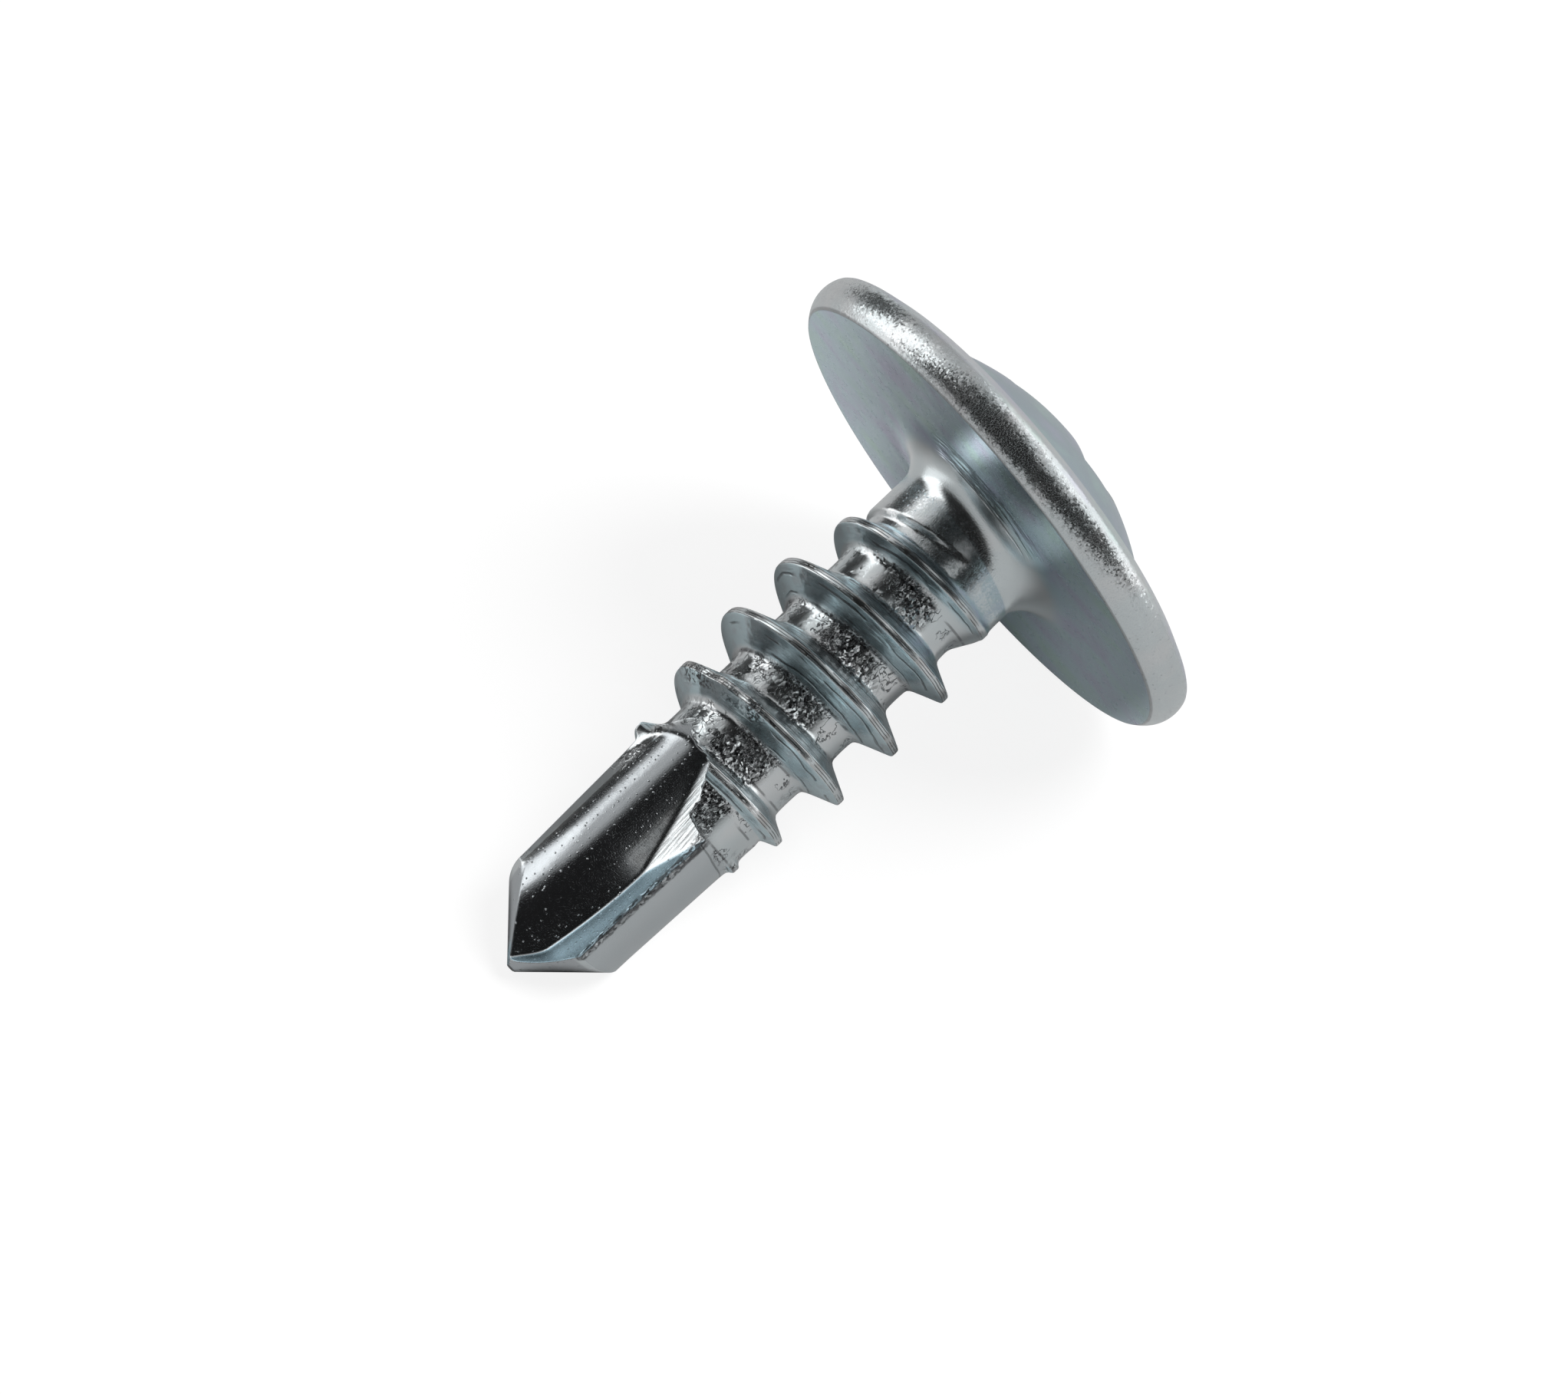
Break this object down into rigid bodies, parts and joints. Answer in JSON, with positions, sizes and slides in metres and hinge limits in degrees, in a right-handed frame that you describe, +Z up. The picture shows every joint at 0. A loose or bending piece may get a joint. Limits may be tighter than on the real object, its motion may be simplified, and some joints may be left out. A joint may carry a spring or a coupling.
{
  "type": "self drilling screw",
  "caption": "Self drilling screw with a wide flat wafer head, low domed crown, cross recess, coarse full thread and a fluted drill point.",
  "frame": {"origin": "middle of the footprint, on the surface the screw lies on", "axes": "+X along the length, from the drill point to the head, level with the table; +Z up. The shank itself runs down towards the point by 21.3 degrees, because the screw rests on the rim of its head and on the drill body."},
  "size_m": [0.0144, 0.0106, 0.0102],
  "materials": {
    "zinc_plate": "bright blue-white zinc plate on forged and rolled steel"
  },
  "bodies": {
    "root": {"screw": "zinc_plate"}
  },
  "joints": []
}
